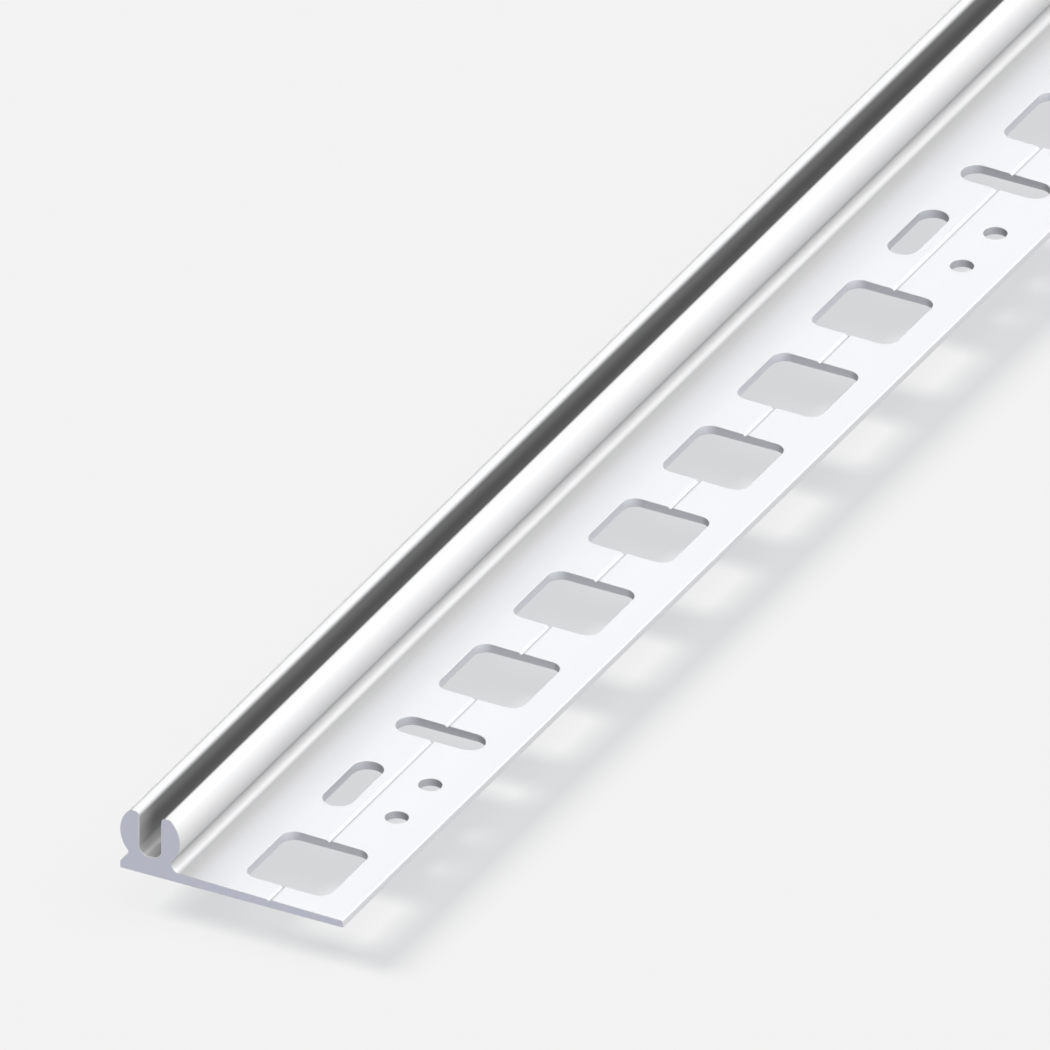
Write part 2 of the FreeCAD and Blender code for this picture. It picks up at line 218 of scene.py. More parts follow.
def section_outline(size):
    """The section as (points, curved): curved says which edges are part of a rounding."""
    centre = size.width - size.rail_width / 2
    reach = size.channel_width / 2 + size.tip_width
    neck, gap = size.neck_width / 2, size.channel_width / 2
    shoulder = size.flange_root + size.root_radius
    bulge_foot = shoulder + size.neck_rise
    top = size.rail_height
    root = Vector((centre - neck, size.flange_root))
    free = Vector((0.0, size.flange_edge))
    groove = Vector((size.groove_offset, size.groove_floor))
    flank = Vector((math.sin(size.groove_angle / 2), math.cos(size.groove_angle / 2)))
    slope = root - free
    groove_right = meet(groove, flank, free, slope)
    groove_left = meet(groove, Vector((-flank.x, flank.y)), free, slope)
    back = bulge_arc(Vector((centre + neck, bulge_foot)), Vector((centre + reach, top)),
                     size.width, CURVE_STEPS["bulge"])
    front = bulge_arc(Vector((centre - neck, bulge_foot)), Vector((centre - reach, top)),
                      size.width - size.rail_width, CURVE_STEPS["bulge"])[::-1]
    corners = [(Vector((0.0, 0.0)), 0.0, ""), (Vector((size.width, 0.0)), 0.0, "")]
    corners.append((Vector((size.width, size.foot_height)), size.edge_radius, "edge"))
    corners.append((Vector((centre + neck, shoulder)), 0.0, ""))
    corners += [(point, 0.0, "bulge") for point in back[:-1]]
    corners.append((back[-1], size.edge_radius, "edge"))
    corners.append((Vector((centre + gap, top)), size.tip_radius, "tip"))
    corners.append((Vector((centre + gap, size.channel_floor)), size.channel_radius, "channel"))
    corners.append((Vector((centre - gap, size.channel_floor)), size.channel_radius, "channel"))
    corners.append((Vector((centre - gap, top)), size.tip_radius, "tip"))
    corners.append((front[0], size.edge_radius, "edge"))
    corners += [(point, 0.0, "bulge") for point in front[1:-1]]
    corners.append((front[-1], 0.0, ""))
    corners.append((root, size.root_radius, "root"))
    corners += [(groove_right, 0.0, ""), (groove, 0.0, ""), (groove_left, 0.0, "")]
    corners.append((free, size.edge_radius, "edge"))
    points, curved = [], []
    for number, (corner, radius, kind) in enumerate(corners):
        before, after = corners[number - 1][0], corners[(number + 1) % len(corners)][0]
        if radius:
            arc = rounding(before, corner, after, radius, CURVE_STEPS[kind])
            bends_on = corners[(number + 1) % len(corners)][2] == "bulge"
            points += arc
            curved += [True] * (len(arc) - 1) + [bends_on]
        else:
            points.append(corner)
            curved.append(kind == "bulge")
    return points, curved


def section_mesh(size):
    """One flat face with the section's outline at the near sawn end, facing the far one."""
    points, _ = section_outline(size)
    half_length, half_width = size.length / 2, size.width / 2
    mesh = bpy.data.meshes.new("section")
    places = [(-half_length, point.x - half_width, point.y) for point in points]
    mesh.from_pydata(places, [], [tuple(range(len(places)))])
    return mesh


# Geometry Nodes

# Numbers of the colour sockets on a Mix node
MIX_SHARE, MIX_FIRST, MIX_SECOND, MIX_RESULT = 0, 6, 7, 2


class NodeMaker:
    """Adds nodes to a tree and links them."""

    def __init__(self, tree):
        self.tree = tree

    def add(self, kind, settings=None, **inputs):
        """Add a node. Inputs are named with _ for a space, and take a value or an output."""
        node = self.tree.nodes.new(kind)
        for name, value in (settings or {}).items():
            setattr(node, name, value)
        for name, value in inputs.items():
            self.feed(node.inputs[name.replace("_", " ")], value)
        return node

    def feed(self, socket, value):
        """Give a socket a plain value, a node's first output, or any output."""
        if isinstance(value, bpy.types.Node):
            value = value.outputs[0]
        if isinstance(value, bpy.types.NodeSocket):
            self.tree.links.new(value, socket)
        else:
            socket.default_value = value

    def math(self, operation, first, second=0.0):
        """Add a calculation and return its output."""
        node = self.tree.nodes.new("ShaderNodeMath")
        node.operation = operation
        self.feed(node.inputs[0], first)
        self.feed(node.inputs[1], second)
        return node.outputs[0]

    def vector(self, x=0.0, y=0.0, z=0.0):
        """Put three numbers together as a place."""
        return self.add("ShaderNodeCombineXYZ", X=x, Y=y, Z=z)

    def smooth_share(self, value, low, high):
        """A share that rises softly from 0 to 1 between two values."""
        node = self.add("ShaderNodeMapRange", {"interpolation_type": "SMOOTHSTEP"}, Value=value,
                        From_Min=low, From_Max=high, To_Min=0.0, To_Max=1.0)
        return node.outputs["Result"]

    def band(self, value, rise, fall):
        """A share that rises softly over one stretch of values and falls over another."""
        return self.math("SUBTRACT", self.smooth_share(value, *rise),
                         self.smooth_share(value, *fall))

    def mix(self, share, first, second, way="MIX"):
        """Mix two colours."""
        node = self.add("ShaderNodeMix", {"data_type": "RGBA", "blend_type": way})
        self.feed(node.inputs[MIX_SHARE], share)
        self.feed(node.inputs[MIX_FIRST], first)
        self.feed(node.inputs[MIX_SECOND], second)
        return node.outputs[MIX_RESULT]

    def join(self, *parts):
        """Put several shapes together as one geometry."""
        node = self.tree.nodes.new("GeometryNodeJoinGeometry")
        for part in parts:
            self.tree.links.new(part.outputs[0], node.inputs[0])
        return node


def new_tree(name, inputs):
    """Start a tree with a geometry in and out, and named inputs of (name, type)."""
    tree = bpy.data.node_groups.new(name, "GeometryNodeTree")
    tree.interface.new_socket("Geometry", in_out="OUTPUT", socket_type="NodeSocketGeometry")
    tree.interface.new_socket("Geometry", in_out="INPUT", socket_type="NodeSocketGeometry")
    for label, kind in inputs:
        tree.interface.new_socket(label, in_out="INPUT", socket_type=kind)
    maker = NodeMaker(tree)
    return tree, maker, tree.nodes.new("NodeGroupInput"), tree.nodes.new("NodeGroupOutput")


MERGE_DISTANCE = 1e-7


def sweep_tree():
    """Tree that drives a flat face the way that it faces and closes both ends."""
    tree, make, given, out = new_tree("Sweep", [("Offset", "NodeSocketVector")])
    far = make.add("GeometryNodeExtrudeMesh", {"mode": "FACES"}, Mesh=given.outputs["Geometry"],
                   Offset=given.outputs["Offset"], Offset_Scale=1.0, Individual=False)
    near = make.add("GeometryNodeFlipFaces", Mesh=given.outputs["Geometry"])
    solid = make.join(near, far)
    merged = make.add("GeometryNodeMergeByDistance", Geometry=solid,
                      Distance=MERGE_DISTANCE)
    make.feed(out.inputs[0], merged)
    return tree


PUNCH_INPUTS = (
    ("Length", "length", "SectionSizes"), ("Width", "width", "SectionSizes"),
    ("Repeat", "repeat", "PunchSizes"), ("Row Offset", "row_offset", "PunchSizes"),
    ("Window Length", "window_length", "PunchSizes"),
    ("Window Width", "window_width", "PunchSizes"),
    ("Window Radius", "window_radius", "PunchSizes"),
    ("Window Pitch", "window_pitch", "PunchSizes"), ("Window At", "window_at", "PunchSizes"),
    ("Slot At", "slot_at", "PunchSizes"), ("Cross At", "cross_at", "PunchSizes"),
    ("Row At", "row_at", "PunchSizes"), ("Slot Width", "slot_width", "PunchSizes"),
    ("Slot Length", "slot_length", "PunchSizes"),
    ("Cross Length", "cross_length", "PunchSizes"),
    ("Slot Offset", "slot_offset", "PunchSizes"),
    ("Pin Diameter", "pin_diameter", "PunchSizes"),
    ("Pin Spacing", "pin_spacing", "PunchSizes"), ("Pin Offset", "pin_offset", "PunchSizes"),
)
PUNCH_BELOW, PUNCH_DEPTH = 1.0 * MM, 3.5 * MM
# Points on a window's corner, on half of a slot's round end and on a whole pin hole
CORNER_STEPS, END_STEPS, PIN_STEPS = 16, 14, 44
# A slot's end has a radius a hair under half its width, which keeps its two corners apart
NEARLY_HALF = 0.49999


def punched_stock_tree():
    """Tree that sweeps the section along the stock and punches every repeat of holes."""
    inputs = [(label, "NodeSocketFloat") for label, _, _ in PUNCH_INPUTS]
    inputs += [("Copies", "NodeSocketInt"), ("Row Windows", "NodeSocketInt")]
    inputs += [("Skin", "NodeSocketMaterial")]
    tree, make, given, out = new_tree("Punched stock", inputs)
    sweep = sweep_tree()
    value = {socket.name: socket for socket in given.outputs}
    stock = make.add("GeometryNodeGroup", {"node_tree": sweep}, Geometry=value["Geometry"],
                     Offset=make.vector(x=value["Length"]))
    start = make.math("MULTIPLY", value["Length"], -0.5)
    edge = make.math("MULTIPLY", value["Width"], -0.5)

    def cutter(outline, along, across):
        """A punch with this outline, set by its middle in the first repeat."""
        face = make.add("GeometryNodeFillCurve", {"mode": "NGONS"}, Curve=outline)
        solid = make.add("GeometryNodeGroup", {"node_tree": sweep}, Geometry=face,
                         Offset=make.vector(z=PUNCH_DEPTH))
        place = make.vector(x=make.math("ADD", start, along), y=make.math("ADD", edge, across),
                            z=-PUNCH_BELOW)
        return make.add("GeometryNodeTransform", Geometry=solid, Translation=place)

    def rounded(length, width, radius, steps):
        """Outline of a window or slot with rounded corners."""
        flat = make.add("GeometryNodeCurvePrimitiveQuadrilateral", {"mode": "RECTANGLE"},
                        Width=length, Height=width)
        return make.add("GeometryNodeFilletCurve", {"mode": "POLY"}, Curve=flat, Count=steps,
                        Radius=radius, Limit_Radius=True)

    window = rounded(value["Window Length"], value["Window Width"], value["Window Radius"],
                     CORNER_STEPS)
    slot_end = make.math("MULTIPLY", value["Slot Width"], NEARLY_HALF)
    slot = rounded(value["Slot Length"], value["Slot Width"], slot_end, END_STEPS)
    cross = rounded(value["Slot Width"], value["Cross Length"], slot_end, END_STEPS)
    pin = make.add("GeometryNodeCurvePrimitiveCircle", {"mode": "RADIUS"}, Resolution=PIN_STEPS,
                   Radius=make.math("MULTIPLY", value["Pin Diameter"], 0.5))
    half_spacing = make.math("MULTIPLY", value["Pin Spacing"], 0.5)
    row_points = make.add("GeometryNodeMeshLine", {"mode": "OFFSET"}, Count=value["Row Windows"],
                          Offset=make.vector(x=value["Window Pitch"]))
    row = make.add("GeometryNodeInstanceOnPoints", Points=row_points,
                   Instance=cutter(window, value["Row At"], value["Row Offset"]))
    group = make.join(
        cutter(window, value["Window At"], value["Row Offset"]),
        cutter(slot, value["Slot At"], value["Slot Offset"]),
        cutter(cross, value["Cross At"], value["Row Offset"]),
        cutter(pin, make.math("SUBTRACT", value["Slot At"], half_spacing), value["Pin Offset"]),
        cutter(pin, make.math("ADD", value["Slot At"], half_spacing), value["Pin Offset"]),
        row)
    repeats = make.add("GeometryNodeMeshLine", {"mode": "OFFSET"}, Count=value["Copies"],
                       Offset=make.vector(x=value["Repeat"]))
    punches = make.add("GeometryNodeInstanceOnPoints", Points=repeats, Instance=group)
    punches = make.add("GeometryNodeRealizeInstances", Geometry=punches)
    punched = make.add("GeometryNodeMeshBoolean",
                       {"operation": "DIFFERENCE", "solver": "MANIFOLD"})
    make.feed(punched.inputs["Mesh 1"], stock)
    make.feed(punched.inputs["Mesh 2"], punches)
    realized = make.add("GeometryNodeRealizeInstances", Geometry=punched)
    painted = make.add("GeometryNodeSetMaterial", Geometry=realized, Material=value["Skin"])
    make.feed(out.inputs[0], painted)
    return tree


def sweep_and_punch(section, sizes, punching, skin):
    """Run the tree on the section's mesh and return the result as a plain mesh."""
    holder = bpy.data.objects.new("profile_section", section)
    bpy.context.scene.collection.objects.link(holder)
    modifier = holder.modifiers.new("Punched stock", "NODES")
    modifier.node_group = punched_stock_tree()
    sources = {"SectionSizes": sizes, "PunchSizes": punching}
    numbers = {label: getattr(sources[source], name) for label, name, source in PUNCH_INPUTS}
    numbers.update({"Copies": punching.copies, "Row Windows": punching.row_windows, "Skin": skin})
    for item in modifier.node_group.interface.items_tree:
        if item.in_out == "INPUT" and item.name in numbers:
            modifier[item.identifier] = numbers[item.name]
    bpy.context.view_layer.update()
    evaluated = holder.evaluated_get(bpy.context.evaluated_depsgraph_get())
    mesh = bpy.data.meshes.new_from_object(evaluated)
    bpy.data.objects.remove(holder)
    if not mesh.polygons:
        raise RuntimeError("the stock came out empty")
    return mesh


# Finishing the mesh

SKIN, SAWN, PUNCHED, CHANNEL = range(4)
NEAR = 0.002 * MM
# Limits on a face's normal: the face looks along the stock, its wall is upright, it slants
ENDWAYS, UPRIGHT, SLANTING = 0.99, 0.01, 1e-3
RIM_SEGMENTS = 2
# Name of the number on each punched wall that holds its painted light and shade
LIGHT = "painted_wall_light"
# Painted light and shade on a punched wall against the degrees between its facing and the free
# edge's
WALL_LIGHT = ((0.0, 0.97), (25.0, 1.10), (45.0, 1.19), (65.0, 1.13), (90.0, 0.96), (112.0, 0.71),
              (180.0, 0.5))
# Share of that painted light in the slots and the pin holes, which are narrower than the windows,
# so more shade is painted there
SLOT_LIGHT, PIN_LIGHT = 0.87, 0.75


def nearest_edge(point, points):
    """Number of the outline's edge that lies nearest to a point."""
    def gap(number):
        start, end = points[number], points[(number + 1) % len(points)]
        along = end - start
        share = max(0.0, min(1.0, (point - start).dot(along) / along.length_squared))
        return (start + along * share - point).length_squared
    return min(range(len(points)), key=gap)


def face_finish(face, sizes):
    """Which finish a face has before its rims are rounded."""
    middle, normal = face.calc_center_bounds(), face.normal
    across = middle.y + sizes.width / 2
    if abs(normal.x) > ENDWAYS and abs(middle.x) > sizes.length / 2 - NEAR:
        return SAWN
    if abs(normal.z) < UPRIGHT and NEAR < across < sizes.width - sizes.rail_width:
        return PUNCHED
    rail_centre = sizes.width - sizes.rail_width / 2
    if abs(across - rail_centre) < sizes.channel_width / 2 + NEAR and middle.z > NEAR:
        return CHANNEL
    return SKIN


def shades_smooth(face, sizes, points, curved):
    """True for a face that is part of a rounding."""
    normal, middle = face.normal, face.calc_center_bounds()
    if face.material_index in (SAWN, PUNCHED):
        return min(abs(normal.x), abs(normal.y)) > SLANTING and abs(normal.z) < UPRIGHT
    if abs(normal.x) > SLANTING:
        return True
    place = Vector((middle.y + sizes.width / 2, middle.z))
    return curved[nearest_edge(place, points)]


def between(steps, value):
    """Level at a value, read off a table of (value, level)."""
    for (low, first), (high, second) in zip(steps, steps[1:]):
        if value <= high:
            return first + (second - first) * (value - low) / (high - low)
    return steps[-1][1]


def painted_wall_light(face, sizes, punching):
    """Painted light and shade on a punched wall, by the way that it faces and by its hole's width.
    """
    middle, normal = face.calc_center_bounds(), face.normal
    light = between(WALL_LIGHT, math.degrees(abs(math.atan2(normal.x, -normal.y))))
    place = (middle.x + sizes.length / 2) % punching.repeat
    single_window_end = punching.window_at + punching.window_length / 2
    row_start = punching.row_at - punching.window_length / 2
    if not single_window_end + NEAR < place < row_start - NEAR:
        return light
    beside_slot = abs(place - punching.slot_at) < punching.pin_spacing
    if beside_slot and middle.y + sizes.width / 2 < punching.pin_offset + punching.pin_diameter:
        return light * PIN_LIGHT
    return light * SLOT_LIGHT


def finish_mesh(mesh, sizes, punching):
    """Tell skin from cut faces, set which shade smooth, give each punched wall its painted light
    and shade, and round the cut rims.
    """
    points, curved = section_outline(sizes)
    work = bmesh.new()
    work.from_mesh(mesh)
    bmesh.ops.remove_doubles(work, verts=work.verts, dist=MERGE_DISTANCE)
    work.normal_update()
    lights = work.faces.layers.float.new(LIGHT)
    for face in work.faces:
        face.material_index = face_finish(face, sizes)
        face.smooth = shades_smooth(face, sizes, points, curved)
        if face.material_index == PUNCHED:
            face[lights] = painted_wall_light(face, sizes, punching)
    rims = [edge for edge in work.edges
            if len({face.material_index in (SAWN, PUNCHED) for face in edge.link_faces}) == 2]
    rounded = bmesh.ops.bevel(work, geom=rims, offset=punching.rim, offset_type="OFFSET",
                              segments=RIM_SEGMENTS, profile=0.5, affect="EDGES",
                              clamp_overlap=False)
    for face in rounded["faces"]:
        face.smooth = True
        face.material_index = SKIN
    work.normal_update()
    if any(not edge.is_manifold for edge in work.edges):
        raise RuntimeError("the finished stock isn't closed")
    work.to_mesh(mesh)
    work.free()


# Materials

class SurfaceMaker(NodeMaker):
    """Adds the nodes of a surface that reads its place on the object."""

    def __init__(self, material):
        material.use_nodes = True
        super().__init__(material.node_tree)
        self.shader = material.node_tree.nodes["Principled BSDF"]
        self.place = self.tree.nodes.new("ShaderNodeTexCoord").outputs["Object"]

    def stretched_noise(self, scale, detail=2.0):
        """Noise with its own scale along, across and up, per metre."""
        mapping = self.add("ShaderNodeMapping", Vector=self.place, Scale=scale)
        return self.add("ShaderNodeTexNoise", Vector=mapping, Scale=1.0, Detail=detail)

    def ramp(self, source, low, high, to_low, to_high):
        """Turn a range of values into another one."""
        node = self.add("ShaderNodeMapRange", Value=source, From_Min=low, From_Max=high,
                        To_Min=to_low, To_Max=to_high)
        return node.outputs["Result"]

    def tones(self, source, steps):
        """Grey levels at given values of a source, which is a length in millimetres."""
        low, high = steps[0][0], steps[-1][0]
        node = self.add("ShaderNodeValToRGB",
                        Fac=self.ramp(source, low * MM, high * MM, 0.0, 1.0))
        ramp = node.color_ramp
        ramp.elements[0].color = grey(steps[0][1])
        ramp.elements[1].color = grey(steps[-1][1])
        for place, level in steps[1:-1]:
            ramp.elements.new((place - low) / (high - low)).color = grey(level)
        return node.outputs["Color"]

    def relief(self, height, depth, strength):
        """Raise the surface by a height pattern."""
        node = self.add("ShaderNodeBump", Height=height, Distance=depth, Strength=strength)
        self.feed(self.shader.inputs["Normal"], node)


def opaque(rgb, level=1.0):
    """A colour with full cover, made lighter or darker."""
    return (rgb[0] * level, rgb[1] * level, rgb[2] * level, 1.0)


def grey(level):
    """A neutral colour with full cover."""
    return opaque((level, level, level))


def beside(place, stretch):
    """A stretch given by its distances from a place."""
    return tuple(place + distance for distance in stretch)


# Grey level of the skin away from painted shade and painted highlight
PLAIN = 0.775
# Painted shade and painted highlight on the skin: grey level by the way up the section in
# millimetres, as skin_tone tells it
SKIN_PAINTED_SHADE_AND_HIGHLIGHT = (
    (-16.0, PLAIN), (-10.5, 0.75), (-8.4, 0.725), (-6.4, 0.655), (-4.9, 0.59), (-3.3, 0.475),
    (-2.5, 0.47), (-2.3, 0.50), (-2.0, 0.73), (-1.6, 0.87), (-1.3, 0.89), (-0.9, 0.88),
    (-0.45, 0.76), (-0.15, 0.42), (0.0, 0.46), (0.3, 0.76), (1.6, 0.765), (2.6, 0.80),
    (3.9, 0.87), (5.0, 0.80))
# Painted shade on the gap's floor and walls: grey level by their height in millimetres
CHANNEL_PAINTED_SHADE = (
    (2.25, 0.38), (3.0, 0.36), (3.6, 0.24), (4.6, 0.15), (5.1, 0.17), (6.1, 0.30),
    (6.5, 0.31), (6.8, 0.64), (7.2, PLAIN))
RAIL_START = (-5.4 * MM, -2.8 * MM)
FAR_SIDE = -0.5 * MM
UNDERSIDE = (0.2 * MM, 0.8 * MM)
# Painted shade line on the groove's side turned away from the free edge: strength, and where it
# rises by the rim and falls by the deepest line
GROOVE_PAINTED_SHADE, GROOVE_RISE, GROOVE_FALL = 0.30, (-0.16 * MM, -0.06 * MM), (-0.08 * MM, -0.03 * MM)
# Painted shade line along the far leg's outer top edge: strength, and where it rises and falls
# about the corner
OUTER_PAINTED_SHADE, OUTER_RISE, OUTER_FALL = 0.33, (-0.36 * MM, -0.16 * MM), (-0.08 * MM, 0.0)
# Painted shade on the flange's free side, gone within the reach from its edge
FREE_EDGE_PAINTED_SHADE, FREE_EDGE_REACH = 0.07, 0.04 * MM
# Painted shade on the inner tip, in multiples of its radius, from the gap's wall and from the
# leg's top
TIP_PAINTED_SHADE, TIP_ACROSS, TIP_BELOW = 0.88, (-1.5, -0.7), (-2.0, -1.5)
# Painted light on the gap's walls near the open ends: its reach along the stock, its strength, and
# the heights over which it comes in
END_REACH, END_PAINTED_LIGHT, END_WALLS = 4.0 * MM, 0.38, (2.6 * MM, 3.6 * MM)


def groove_side(make, sizes, across):
    """Share of the painted shade on the groove's side that is turned away from the free edge."""
    deepest = sizes.groove_offset - sizes.width / 2
    rise = (sizes.flange_root - sizes.flange_edge) / (sizes.width - sizes.rail_width)
    depth = sizes.flange_edge + rise * sizes.groove_offset - sizes.groove_floor
    rim = deepest - depth * math.tan(sizes.groove_angle / 2)
    return make.band(across, beside(rim, GROOVE_RISE), beside(deepest, GROOVE_FALL))


def inner_tip(make, sizes, across, height):
    """Share of the painted shade on the rounded inner tip of the leg beside the flange."""
    middle = sizes.width / 2 - sizes.rail_width / 2
    wall = middle - sizes.channel_width / 2
    radius = sizes.tip_radius
    start = make.smooth_share(across, *beside(wall, [radius * part for part in TIP_ACROSS]))
    high = make.smooth_share(
        height, *beside(sizes.rail_height, [radius * part for part in TIP_BELOW]))
    near_side = make.math("LESS_THAN", across, middle)
    return make.math("MULTIPLY", make.math("MULTIPLY", start, near_side), high)


def skin_tone(make, look, sizes, across, height, tip):
    """How light the skin is painted: shade is painted into the crease between flange and rail, and
    painted highlight into the hollow and on the bulge.

    The way up the section is told by the height less the distance from the rail's
    middle plane. It grows from the flange through the hollow to the top of the leg."""
    middle = sizes.width / 2 - sizes.rail_width / 2
    beyond = make.math("GREATER_THAN", across, middle)
    aside = make.math("ABSOLUTE", make.math("SUBTRACT", across, middle))
    way = make.math("SUBTRACT", height, aside)
    # The rail's outer side keeps out of the crease's painted shade
    way = make.math("MAXIMUM", way, make.math("SUBTRACT", beyond, 1.0 - FAR_SIDE))
    # Painted shade and painted highlight along the way up the section
    tone = make.tones(way, SKIN_PAINTED_SHADE_AND_HIGHLIGHT)
    on_rail = make.smooth_share(way, *RAIL_START)
    tone = make.mix(on_rail, tone, opaque(look.rail_tint), "MULTIPLY")
    # Painted shade line along the far leg's outer top edge
    corner = middle + sizes.channel_width / 2 + sizes.tip_width
    outer = make.band(across, beside(corner, OUTER_RISE), beside(corner, OUTER_FALL))
    # Painted shade on the groove's side, the inner tip and the outer edge
    for share, shade in ((groove_side(make, sizes, across), GROOVE_PAINTED_SHADE), (tip, TIP_PAINTED_SHADE),
                         (outer, OUTER_PAINTED_SHADE)):
        tone = make.mix(make.math("MULTIPLY", share, shade), tone, grey(0.0))
    # The underside keeps the plain grey level, free of painted shade
    tone = make.mix(make.smooth_share(height, *UNDERSIDE), grey(PLAIN), tone)
    # Painted shade on the flange's free side
    edge = -sizes.width / 2
    free_edge = make.ramp(across, edge, edge + FREE_EDGE_REACH, FREE_EDGE_PAINTED_SHADE, 0.0)
    return make.mix(free_edge, tone, grey(0.0))


PLASTIC_IOR, GLOSS = 1.53, 0.5
# Each noise's scale per metre along, across and up, with what it does to the surface
CLOUDS, CLOUD_RANGE, CLOUD_SHADE, CLOUD_DULLING = (25.0, 90.0, 90.0), (0.3, 0.7), 0.985, 0.03
DIE_LINES, LINE_DETAIL, LINE_DEPTH, LINE_STRENGTH = (3.0, 5200.0, 5200.0), 1.0, 4e-6, 0.12
CUT_MARKS, MARK_SHADE, MARK_DEPTH, MARK_STRENGTH = (7000.0, 7000.0, 500.0), 0.97, 1e-5, 0.25


def skin_material(look, sizes):
    """Satin white skin with faint cloudiness, the fine lines of the die, and painted shade and
    highlight from skin_tone.

    The inner tip, where shade is painted, has no gloss, which would wash its painted shade out at
    a flat angle."""
    material = bpy.data.materials.new("white_skin")
    make = SurfaceMaker(material)
    parts = make.add("ShaderNodeSeparateXYZ", Vector=make.place)
    across, height = parts.outputs["Y"], parts.outputs["Z"]
    tip = inner_tip(make, sizes, across, height)
    tone = skin_tone(make, look, sizes, across, height, tip)
    clouds = make.stretched_noise(CLOUDS)
    lines = make.stretched_noise(DIE_LINES, LINE_DETAIL)
    cloudy = make.mix(clouds, opaque(look.skin, CLOUD_SHADE), opaque(look.skin))
    make.feed(make.shader.inputs["Base Color"], make.mix(1.0, cloudy, tone, "MULTIPLY"))
    make.feed(make.shader.inputs["Specular IOR Level"], make.ramp(tip, 0.0, 1.0, GLOSS, 0.0))
    dull = make.ramp(clouds, *CLOUD_RANGE, look.skin_roughness - CLOUD_DULLING,
                     look.skin_roughness + CLOUD_DULLING)
    make.feed(make.shader.inputs["Roughness"], dull)
    make.relief(lines, LINE_DEPTH, LINE_STRENGTH)
    make.shader.inputs["IOR"].default_value = PLASTIC_IOR
    return material


def cut_material(name, rgb, look, by_wall=False):
    """Duller plastic of the sawn ends and the punched walls, with fine shear marks, and painted
    light and shade on the punched walls.
    """
    material = bpy.data.materials.new(name)
    make = SurfaceMaker(material)
    marks = make.stretched_noise(CUT_MARKS)
    colour = make.mix(marks, opaque(rgb, MARK_SHADE), opaque(rgb))
    if by_wall:
        # Painted light and shade on the punched walls, from each face's number
        light = make.add("ShaderNodeAttribute", {"attribute_name": LIGHT})
        colour = make.mix(1.0, colour, light.outputs["Fac"], "MULTIPLY")
    make.feed(make.shader.inputs["Base Color"], colour)
    make.relief(marks, MARK_DEPTH, MARK_STRENGTH)
    make.shader.inputs["Roughness"].default_value = look.cut_roughness
    make.shader.inputs["IOR"].default_value = PLASTIC_IOR
    return material


def channel_material(look, sizes):
    """Skin with shade painted in from the legs' tips down into the gap, and painted light on its
    walls near the open ends.
    """
    material = bpy.data.materials.new("channel_painted_shade")
    make = SurfaceMaker(material)
    parts = make.add("ShaderNodeSeparateXYZ", Vector=make.place)
    # Painted shade down into the gap, lifted by painted light on the walls near the open ends
    deep = make.tones(parts.outputs["Z"], CHANNEL_PAINTED_SHADE)
    along = make.math("ABSOLUTE", parts.outputs["X"])
    open_end = make.smooth_share(along, sizes.length / 2 - END_REACH, sizes.length / 2)
    walls = make.ramp(parts.outputs["Z"], *END_WALLS, 0.0, END_PAINTED_LIGHT)
    tone = make.mix(make.math("MULTIPLY", open_end, walls), deep, grey(PLAIN))
    plain = tuple(level * tint for level, tint in zip(look.skin, look.rail_tint))
    make.feed(make.shader.inputs["Base Color"], make.mix(1.0, opaque(plain), tone, "MULTIPLY"))
    make.shader.inputs["Roughness"].default_value = look.skin_roughness
    make.shader.inputs["IOR"].default_value = PLASTIC_IOR
    return material


def floor_material(look):
    """Matt floor without gloss, bright enough to stay pale in shade."""
    material = bpy.data.materials.new("pale_floor")
    material.use_nodes = True
    shader = material.node_tree.nodes["Principled BSDF"]
    shader.inputs["Base Color"].default_value = opaque(look.floor)
    shader.inputs["Emission Color"].default_value = opaque(look.floor_glow)
    shader.inputs["Emission Strength"].default_value = 1.0
    shader.inputs["Specular IOR Level"].default_value = 0.0
    shader.inputs["Roughness"].default_value = 1.0
    return material


# Stage

PHOTO_AZIMUTH, PHOTO_ELEVATION = math.radians(-62.175), math.radians(31.005)
AIM = Vector((-0.4198, 0.00805, 0.0))
# Directions from which the light comes
KEY_FROM = Vector((-0.237, 0.663, 0.710))
FILL_FROM = Vector((0.0, 1.0, 0.04))
SKY_FROM = Vector((0.0, -0.32, 0.95))
# Sky's bright side by the cosine of the angle from SKY_FROM, and its grey side along the stock
SKY_BRIGHT, SKY_GREY = (0.71, 1.05), (-1.0, 0.1)
CAMERA_DISTANCE, CAMERA_CLIP = 1.5, (0.01, 20.0)


def add_floor(look):
    """Square floor below the profile."""
    half = look.floor_size / 2
    mesh = bpy.data.meshes.new("floor")
    corners = [(-half, -half), (half, -half), (half, half), (-half, half)]
    mesh.from_pydata([(x, y, -look.floor_drop) for x, y in corners], [], [(0, 1, 2, 3)])
    mesh.materials.append(floor_material(look))
    floor = bpy.data.objects.new("floor", mesh)
    bpy.context.scene.collection.objects.link(floor)
    return floor


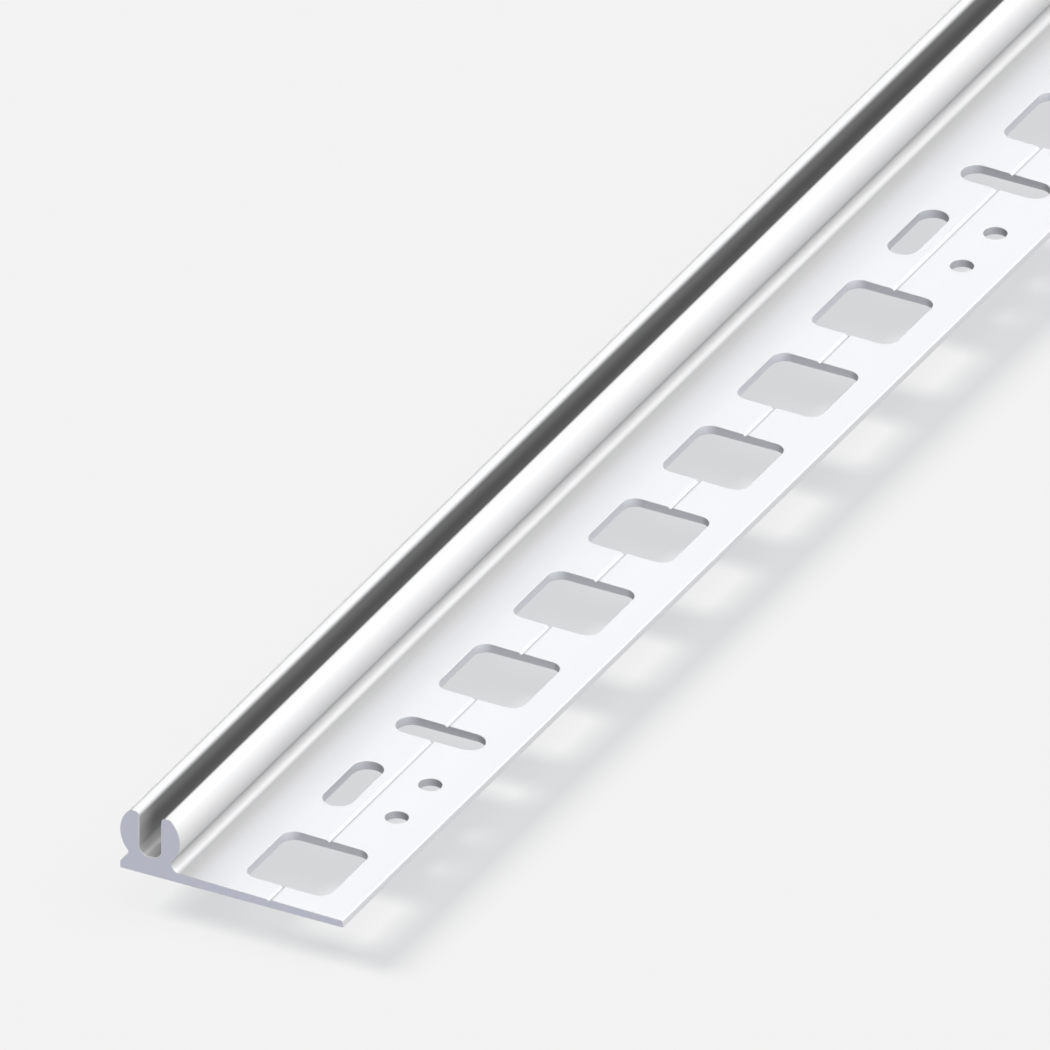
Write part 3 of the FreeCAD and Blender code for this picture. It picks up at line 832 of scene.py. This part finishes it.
def add_sky(look):
    """Soft light from all round, brightest high up on the flange's side and greyer
    towards the near end."""
    world = bpy.data.worlds.new("soft_sky")
    world.use_nodes = True
    make = NodeMaker(world.node_tree)
    direction = world.node_tree.nodes.new("ShaderNodeTexCoord").outputs["Generated"]
    turned_to = make.add("ShaderNodeVectorMath", {"operation": "DOT_PRODUCT"})
    make.feed(turned_to.inputs[0], direction)
    make.feed(turned_to.inputs[1], SKY_FROM.normalized())
    bright = make.smooth_share(turned_to.outputs["Value"], *SKY_BRIGHT)
    level = make.mix(bright, opaque((look.dim_sky,) * 3), opaque((1.0, 1.0, 1.0)))
    along = make.add("ShaderNodeSeparateXYZ", Vector=direction).outputs["X"]
    tint = make.mix(make.smooth_share(along, *SKY_GREY), opaque(look.near_sky),
                    opaque(look.open_sky))
    background = world.node_tree.nodes["Background"]
    make.feed(background.inputs["Color"], make.mix(1.0, level, tint, "MULTIPLY"))
    background.inputs["Strength"].default_value = look.sky
    bpy.context.scene.world = world


def add_light(name, towards, strength, softness, lit):
    """Broad soft light on one object, shaded by all, alike along the whole length."""
    light = bpy.data.lights.new(name, "SUN")
    light.energy = strength
    light.angle = softness
    lamp = bpy.data.objects.new(name, light)
    lamp.rotation_mode = "QUATERNION"
    lamp.rotation_quaternion = towards.to_track_quat("Z", "Y")
    lamp.location = towards
    bpy.context.scene.collection.objects.link(lamp)
    receivers = bpy.data.collections.new(name + "_receivers")
    receivers.objects.link(lit)
    lamp.light_linking.receiver_collection = receivers


def add_camera(look):
    """Parallel view at the photograph's angle."""
    camera = bpy.data.cameras.new("camera")
    camera.type = "ORTHO"
    camera.ortho_scale = look.frame_width
    camera.clip_start, camera.clip_end = CAMERA_CLIP
    back = Vector((math.sin(PHOTO_AZIMUTH) * math.cos(PHOTO_ELEVATION),
                   -math.cos(PHOTO_AZIMUTH) * math.cos(PHOTO_ELEVATION),
                   math.sin(PHOTO_ELEVATION)))
    holder = bpy.data.objects.new("camera", camera)
    holder.rotation_mode = "QUATERNION"
    holder.rotation_quaternion = (-back).to_track_quat("-Z", "Y")
    holder.location = AIM + back * CAMERA_DISTANCE
    bpy.context.scene.collection.objects.link(holder)
    bpy.context.scene.camera = holder


# Operators

class BuildProfile(bpy.types.Operator):
    """Sweep the section, punch the flange and finish the plastic"""
    bl_idname = "profile.build_stock"
    bl_label = "Build the mounting profile"

    def execute(self, context):
        scene = context.scene
        sizes, punching, look = scene.profile_section, scene.profile_punching, scene.profile_finish
        skin = skin_material(look, sizes)
        mesh = sweep_and_punch(section_mesh(sizes), sizes, punching, skin)
        mesh.materials.clear()
        mesh.materials.append(skin)
        mesh.materials.append(cut_material("sawn_white", look.sawn, look))
        mesh.materials.append(cut_material("punched_white", look.punched, look, True))
        mesh.materials.append(channel_material(look, sizes))
        finish_mesh(mesh, sizes, punching)
        piece = bpy.data.objects.new(STOCK, mesh)
        scene.collection.objects.link(piece)
        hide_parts(NODE)
        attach(piece, "root")
        return {"FINISHED"}


class BuildStage(bpy.types.Operator):
    """Lay the floor and set the light and the camera"""
    bl_idname = "profile.build_stage"
    bl_label = "Build the stage"

    def execute(self, context):
        look = context.scene.profile_stage
        floor = add_floor(look)
        add_sky(look)
        add_light("key_light", KEY_FROM, look.key, look.key_softness, floor)
        add_light("fill_light", FILL_FROM, look.fill, look.fill_softness,
                  bpy.data.objects[STOCK])
        add_camera(look)
        context.scene.view_settings.view_transform = "Standard"
        return {"FINISHED"}


class ProfilePanel(bpy.types.Panel):
    """Sizes, looks and buttons of the mounting profile"""
    bl_idname = "VIEW3D_PT_mounting_profile"
    bl_label = "Mounting profile"
    bl_space_type = "VIEW_3D"
    bl_region_type = "UI"
    bl_category = "Profile"

    def draw(self, context):
        layout = self.layout
        for operator in (BuildProfile, BuildStage):
            layout.operator(operator.bl_idname)
        for name in GROUPS:
            box = layout.box()
            group = getattr(context.scene, name)
            for field in group.__annotations__:
                box.prop(group, field)


GROUPS = {
    "profile_section": SectionSizes,
    "profile_punching": PunchSizes,
    "profile_finish": FinishLook,
    "profile_stage": StageLook,
}
CLASSES = (*GROUPS.values(), BuildProfile, BuildStage, ProfilePanel)


def register():
    for item in CLASSES:
        bpy.utils.register_class(item)
    for name, group in GROUPS.items():
        setattr(bpy.types.Scene, name, bpy.props.PointerProperty(type=group))


def unregister():
    for name in GROUPS:
        delattr(bpy.types.Scene, name)
    for item in reversed(CLASSES):
        bpy.utils.unregister_class(item)


def plain(corners):
    """The two corners of a box as plain lists of numbers."""
    return [list(corner) for corner in corners]


def main():
    """Build the profile and its stage."""
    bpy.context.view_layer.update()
    register()
    bpy.ops.profile.build_stock()
    bpy.ops.profile.build_stage()


if __name__ == "__main__":
    main()
